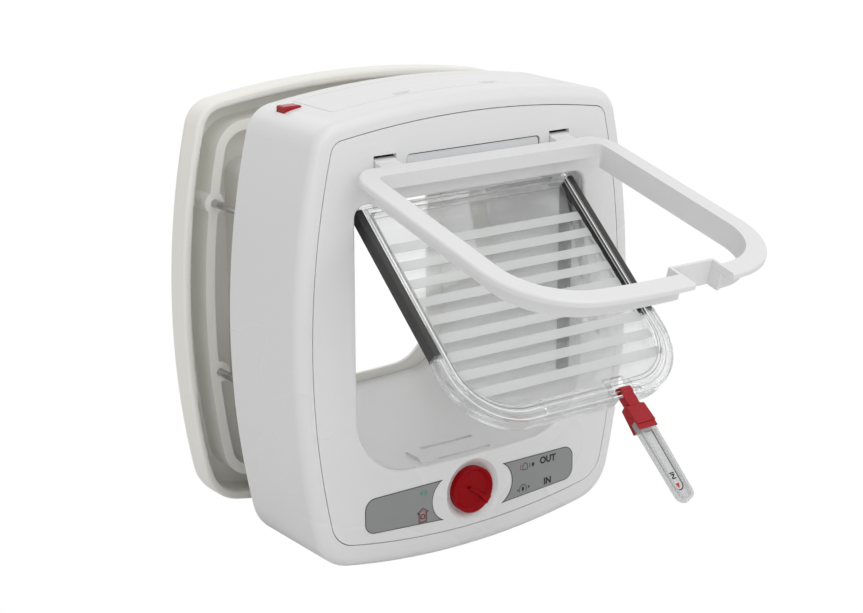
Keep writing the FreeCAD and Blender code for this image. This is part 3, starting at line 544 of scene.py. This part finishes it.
def make_lever_marks():
    """The word and the arrow near the tip of the clear lever, and a painted shade line along its channel."""
    mark_height = lever_floor + lever_mark_lift
    word_place = flap_place(indicator_pivot, 0, lever_word_drop, mark_height)
    down_text = word_place @ Matrix.Rotation(math.radians(-90), 4, "Z")
    words("lever_word", "IN", lever_word_size, down_text, ink, "indicator", lever_word_weight)
    wide = lever_arrow_half_width
    high = lever_arrow_half_height
    arrow_place = flap_place(indicator_pivot, 0, lever_arrow_drop, mark_height)
    arrow = plate_from([(-wide, high), (wide, high), (0, -high)], arrow_place, sign_thickness)
    mesh_object("lever_arrow", arrow, ink_red, "indicator")
    half = lever_line_half
    round_end = [(x, y - lever_inner_drop + half) for x, y in arc(half, 180, 180, 2 * corner_steps)]
    path = [(-half - lever_taper, -lever_top_drop)] + round_end + [(half + lever_taper, -lever_top_drop)]
    # Painted shade: a dark line standing for the dark edge that the clear lever shows along its channel.
    line_place = flap_place(indicator_pivot, 0, 0, lever_floor + lever_line_lift)
    border = stroke(path, lever_line_width, False, line_place, line_thickness)
    mesh_object("lever_line", border, painted_edge_dark_shade, "indicator")


floor_half = 6.0
floor_gap = 0.5 * MM


def make_floor():
    builder = bmesh.new()
    bmesh.ops.create_grid(builder, x_segments=1, y_segments=1, size=floor_half)
    mesh = bpy.data.meshes.new("floor")
    builder.to_mesh(mesh)
    builder.free()
    floor = bpy.data.objects.new("floor", mesh)
    floor.location = (0, 0, low_corner.z - floor_gap)
    bpy.context.scene.collection.objects.link(floor)
    material = bpy.data.materials.new("studio_floor")
    material.use_nodes = True
    tree = material.node_tree
    tree.nodes.clear()
    output = tree.nodes.new("ShaderNodeOutputMaterial")
    mix = tree.nodes.new("ShaderNodeMixShader")
    path = tree.nodes.new("ShaderNodeLightPath")
    glow = tree.nodes.new("ShaderNodeEmission")
    matte = tree.nodes.new("ShaderNodeBsdfDiffuse")
    matte.inputs["Color"].default_value = (0.85, 0.85, 0.85, 1)
    glow.inputs["Color"].default_value = (1, 1, 1, 1)
    glow.inputs["Strength"].default_value = 1.0
    direct = tree.nodes.new("ShaderNodeMath")
    direct.operation = "MAXIMUM"
    tree.links.new(path.outputs["Is Camera Ray"], direct.inputs[0])
    tree.links.new(path.outputs["Is Transmission Ray"], direct.inputs[1])
    tree.links.new(direct.outputs["Value"], mix.inputs["Fac"])
    tree.links.new(matte.outputs["BSDF"], mix.inputs[1])
    tree.links.new(glow.outputs["Emission"], mix.inputs[2])
    tree.links.new(mix.outputs["Shader"], output.inputs["Surface"])
    mesh.materials.append(material)


def make_world():
    world = bpy.data.worlds.new("studio")
    bpy.context.scene.world = world
    world.use_nodes = True
    tree = world.node_tree
    tree.nodes.clear()
    output = tree.nodes.new("ShaderNodeOutputWorld")
    mix = tree.nodes.new("ShaderNodeMixShader")
    path = tree.nodes.new("ShaderNodeLightPath")
    seen = tree.nodes.new("ShaderNodeBackground")
    fill = tree.nodes.new("ShaderNodeBackground")
    seen.inputs["Strength"].default_value = 1.0
    seen.inputs["Color"].default_value = (1, 1, 1, 1)
    fill.inputs["Color"].default_value = (1, 1, 1, 1)
    fill.inputs["Strength"].default_value = 0.62
    direct = tree.nodes.new("ShaderNodeMath")
    direct.operation = "MAXIMUM"
    shown = tree.nodes.new("ShaderNodeMath")
    shown.operation = "MAXIMUM"
    tree.links.new(path.outputs["Is Camera Ray"], direct.inputs[0])
    tree.links.new(path.outputs["Is Transmission Ray"], direct.inputs[1])
    tree.links.new(direct.outputs["Value"], shown.inputs[0])
    tree.links.new(path.outputs["Is Glossy Ray"], shown.inputs[1])
    tree.links.new(shown.outputs["Value"], mix.inputs["Fac"])
    tree.links.new(fill.outputs["Background"], mix.inputs[1])
    tree.links.new(seen.outputs["Background"], mix.inputs[2])
    tree.links.new(mix.outputs["Shader"], output.inputs["Surface"])


def make_light(name, place, aim, size, power):
    light = bpy.data.lights.new(name, "AREA")
    light.shape = "RECTANGLE"
    light.size = size[0]
    light.size_y = size[1]
    light.energy = power
    lamp = bpy.data.objects.new(name, light)
    lamp.location = place
    lamp.rotation_euler = (Vector(aim) - Vector(place)).to_track_quat("-Z", "Y").to_euler()
    lamp.visible_camera = False
    bpy.context.scene.collection.objects.link(lamp)


# Each lamp: name, place, what it aims at, its width and height, and its power
middle_of_part = (0, 0, 0.12)
lamps = (
    ("key_above", (0.2, -0.7, 1.7), middle_of_part, (1.2, 1.0), 6),
    ("front_right", (1.3, -1.2, 0.9), middle_of_part, (1.0, 1.0), 1.2),
    ("front_left", (-0.9, -1.3, 0.45), (0.03, 0.05, 0.10), (0.7, 0.5), 1.3),
    ("front_high", (-0.1, -0.8, 0.75), (0, 0, 0.24), (0.8, 0.4), 1.3),
    ("left_side", (-1.7, -0.2, 0.7), middle_of_part, (0.9, 1.2), 0.3),
    ("back_above", (0.0, 1.3, 1.4), middle_of_part, (1.4, 0.8), 3),
)


def make_lights():
    for name, place, aim, size, power in lamps:
        make_light(name, place, aim, size, power)


# The photograph's camera: its place and its turn about the object
camera_place = Vector((-0.59357, panel_front - 0.76705, 0.41945))
camera_azimuth = -0.63511
camera_elevation = 0.28166
camera_lens = 78.45


def make_camera():
    data = bpy.data.cameras.new("camera")
    data.lens = camera_lens
    data.sensor_width = 36.0
    camera = bpy.data.objects.new("camera", data)
    back = Vector((math.sin(camera_azimuth) * math.cos(camera_elevation),
                   -math.cos(camera_azimuth) * math.cos(camera_elevation), math.sin(camera_elevation)))
    camera.location = camera_place
    camera.rotation_mode = "QUATERNION"
    camera.rotation_quaternion = (-back).to_track_quat("-Z", "Y")
    bpy.context.scene.collection.objects.link(camera)
    bpy.context.scene.camera = camera


dress_nodes()
make_bands()
make_signs()
make_recess_plate()
make_rim_lines()
make_lever_marks()
make_floor()
make_world()
make_lights()
make_camera()
bpy.context.scene.view_settings.view_transform = "Standard"
